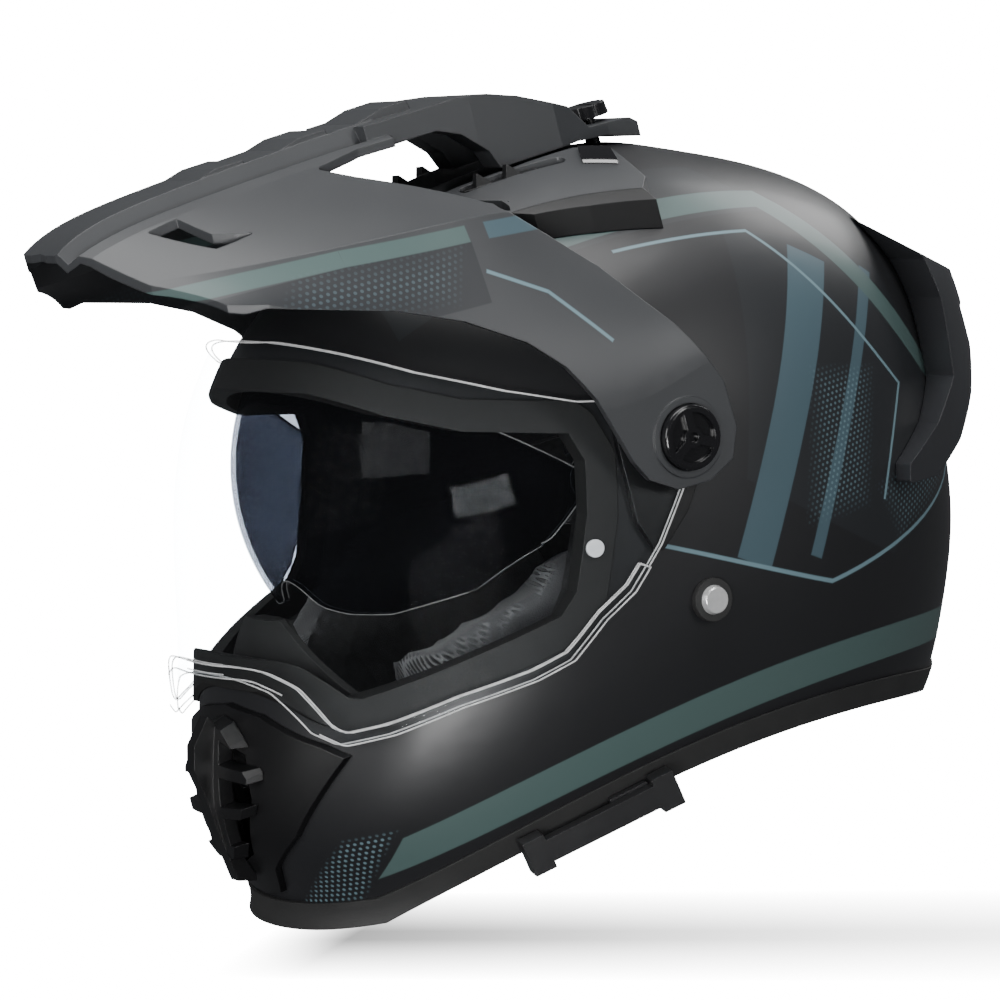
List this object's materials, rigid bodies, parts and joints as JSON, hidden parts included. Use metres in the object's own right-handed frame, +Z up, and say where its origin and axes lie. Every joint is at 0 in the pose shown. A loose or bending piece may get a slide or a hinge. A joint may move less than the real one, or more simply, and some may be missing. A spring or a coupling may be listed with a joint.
{
  "type": "dual sport helmet",
  "caption": "Dual sport motorcycle helmet with a peak, clear face shield, drop-down sun visor, vents, rear spoiler, padded liner and ratchet chin strap.",
  "frame": {"origin": "centre of the bounding box at its base, which is the plane that the rim trim rests on", "axes": "+Z up, -Y towards the front of the helmet, +X to the wearer's left"},
  "size_m": [0.2602, 0.374, 0.2942],
  "materials": {
    "shell_paint": "satin dark paint with teal-grey and steel-blue bands under a clear coat",
    "edge_rubber": "matt moulded rubber",
    "foam": "expanded beads",
    "lining": "grey knitted mesh over foam",
    "curtain": "close woven",
    "black_plastic": "fine moulded grain",
    "gloss_black": "polished",
    "peak_plastic": "satin grey with a fine grain",
    "grey_plastic": "satin",
    "spoiler_plastic": "satin",
    "white_plastic": "polished",
    "clear_lens": "clear polycarbonate",
    "smoke_lens": "smoked polycarbonate",
    "rivet_steel": "polished",
    "buckle_steel": "brushed",
    "webbing": "woven strap",
    "red_plastic": "moulded"
  },
  "bodies": {
    "shell": {"outer_shell": "shell_paint", "rim_trim": "edge_rubber", "eps_liner": "foam", "chin_foam": "foam", "crown_pad": "lining", "cheek_pad_left": "lining", "cheek_pad_right": "lining", "neck_roll": "lining", "chin_curtain": "curtain", "eyeport_seal": "edge_rubber", "base_plate_left": "black_plastic", "base_plate_right": "black_plastic", "chin_panel": "black_plastic", "chin_vent_grille": "black_plastic", "breath_deflector": "edge_rubber", "top_vent_left": "grey_plastic", "top_vent_right": "grey_plastic", "vent_scoop_left": "black_plastic", "vent_scoop_right": "black_plastic", "vent_caps": "gloss_black", "rear_spoiler": "spoiler_plastic", "spoiler_louvres": "black_plastic", "rivet_rings": "edge_rubber", "strap_rivets": "rivet_steel", "sun_visor_pins": "black_plastic", "visor_rail": "black_plastic", "chin_strap_left": "webbing", "chin_strap_right": "webbing", "ratchet_tongue": "black_plastic", "buckle_body": "buckle_steel", "lever_pin": "buckle_steel"},
    "face_shield": {"face_shield": "clear_lens", "insert_pins": "white_plastic"},
    "sun_visor": {"sun_visor": "smoke_lens"},
    "visor_slider": {"visor_slider": "black_plastic"},
    "peak": {"peak": "peak_plastic"},
    "peak_screw_left": {"peak_screw_left": "gloss_black"},
    "peak_screw_right": {"peak_screw_right": "gloss_black"},
    "crown_screw": {"crown_screw": "gloss_black"},
    "vent_slider_left": {"vent_slider_left": "black_plastic"},
    "vent_slider_right": {"vent_slider_right": "black_plastic"},
    "chin_vent_shutter": {"chin_vent_shutter": "black_plastic"},
    "release_lever": {"release_lever": "red_plastic"}
  },
  "joints": [
    {"name": "shield_swing", "type": "hinge", "parent": "shell", "child": "face_shield", "pos_m": [0, -0.005, 0.154], "axis": [-1, 0, 0], "range_deg": [0, 36]},
    {"name": "visor_swing", "type": "hinge", "parent": "shell", "child": "sun_visor", "pos_m": [0, -0.034, 0.146], "axis": [-1, 0, 0], "range_deg": [0, 40]},
    {"name": "visor_slide", "type": "slide", "parent": "shell", "child": "visor_slider", "axis": [-0.2864, -0.9455, -0.1551], "range_m": [0, 0.028]},
    {"name": "peak_tilt", "type": "hinge", "parent": "shell", "child": "peak", "pos_m": [0, -0.005, 0.154], "axis": [-1, 0, 0], "range_deg": [-2, 2]},
    {"name": "left_screw_turn", "type": "hinge", "parent": "shell", "child": "peak_screw_left", "pos_m": [0.124, -0.005, 0.154], "axis": [1, 0, 0], "continuous": true},
    {"name": "right_screw_turn", "type": "hinge", "parent": "shell", "child": "peak_screw_right", "pos_m": [-0.124, -0.005, 0.154], "axis": [-1, 0, 0], "continuous": true},
    {"name": "crown_screw_turn", "type": "hinge", "parent": "shell", "child": "crown_screw", "pos_m": [0, 0.062, 0.26], "axis": [0, 0, 1], "continuous": true},
    {"name": "left_vent_slide", "type": "slide", "parent": "shell", "child": "vent_slider_left", "axis": [0.1564, 0.9877, 0], "range_m": [0, 0.012]},
    {"name": "right_vent_slide", "type": "slide", "parent": "shell", "child": "vent_slider_right", "axis": [-0.1564, 0.9877, 0], "range_m": [0, 0.012]},
    {"name": "chin_vent_lift", "type": "slide", "parent": "shell", "child": "chin_vent_shutter", "axis": [0, 0, 1], "range_m": [0, 0.009]},
    {"name": "lever_lift", "type": "hinge", "parent": "shell", "child": "release_lever", "pos_m": [0.0246, -0.007, 0.0241], "axis": [0, 1, 0], "range_deg": [0, 50], "stiffness_Nm_per_rad": 0.02, "springref_deg": -20.05}
  ],
  "couplings": [
    {"joint": "visor_slide", "follows": "visor_swing", "m_per_rad": 0.04001}
  ]
}
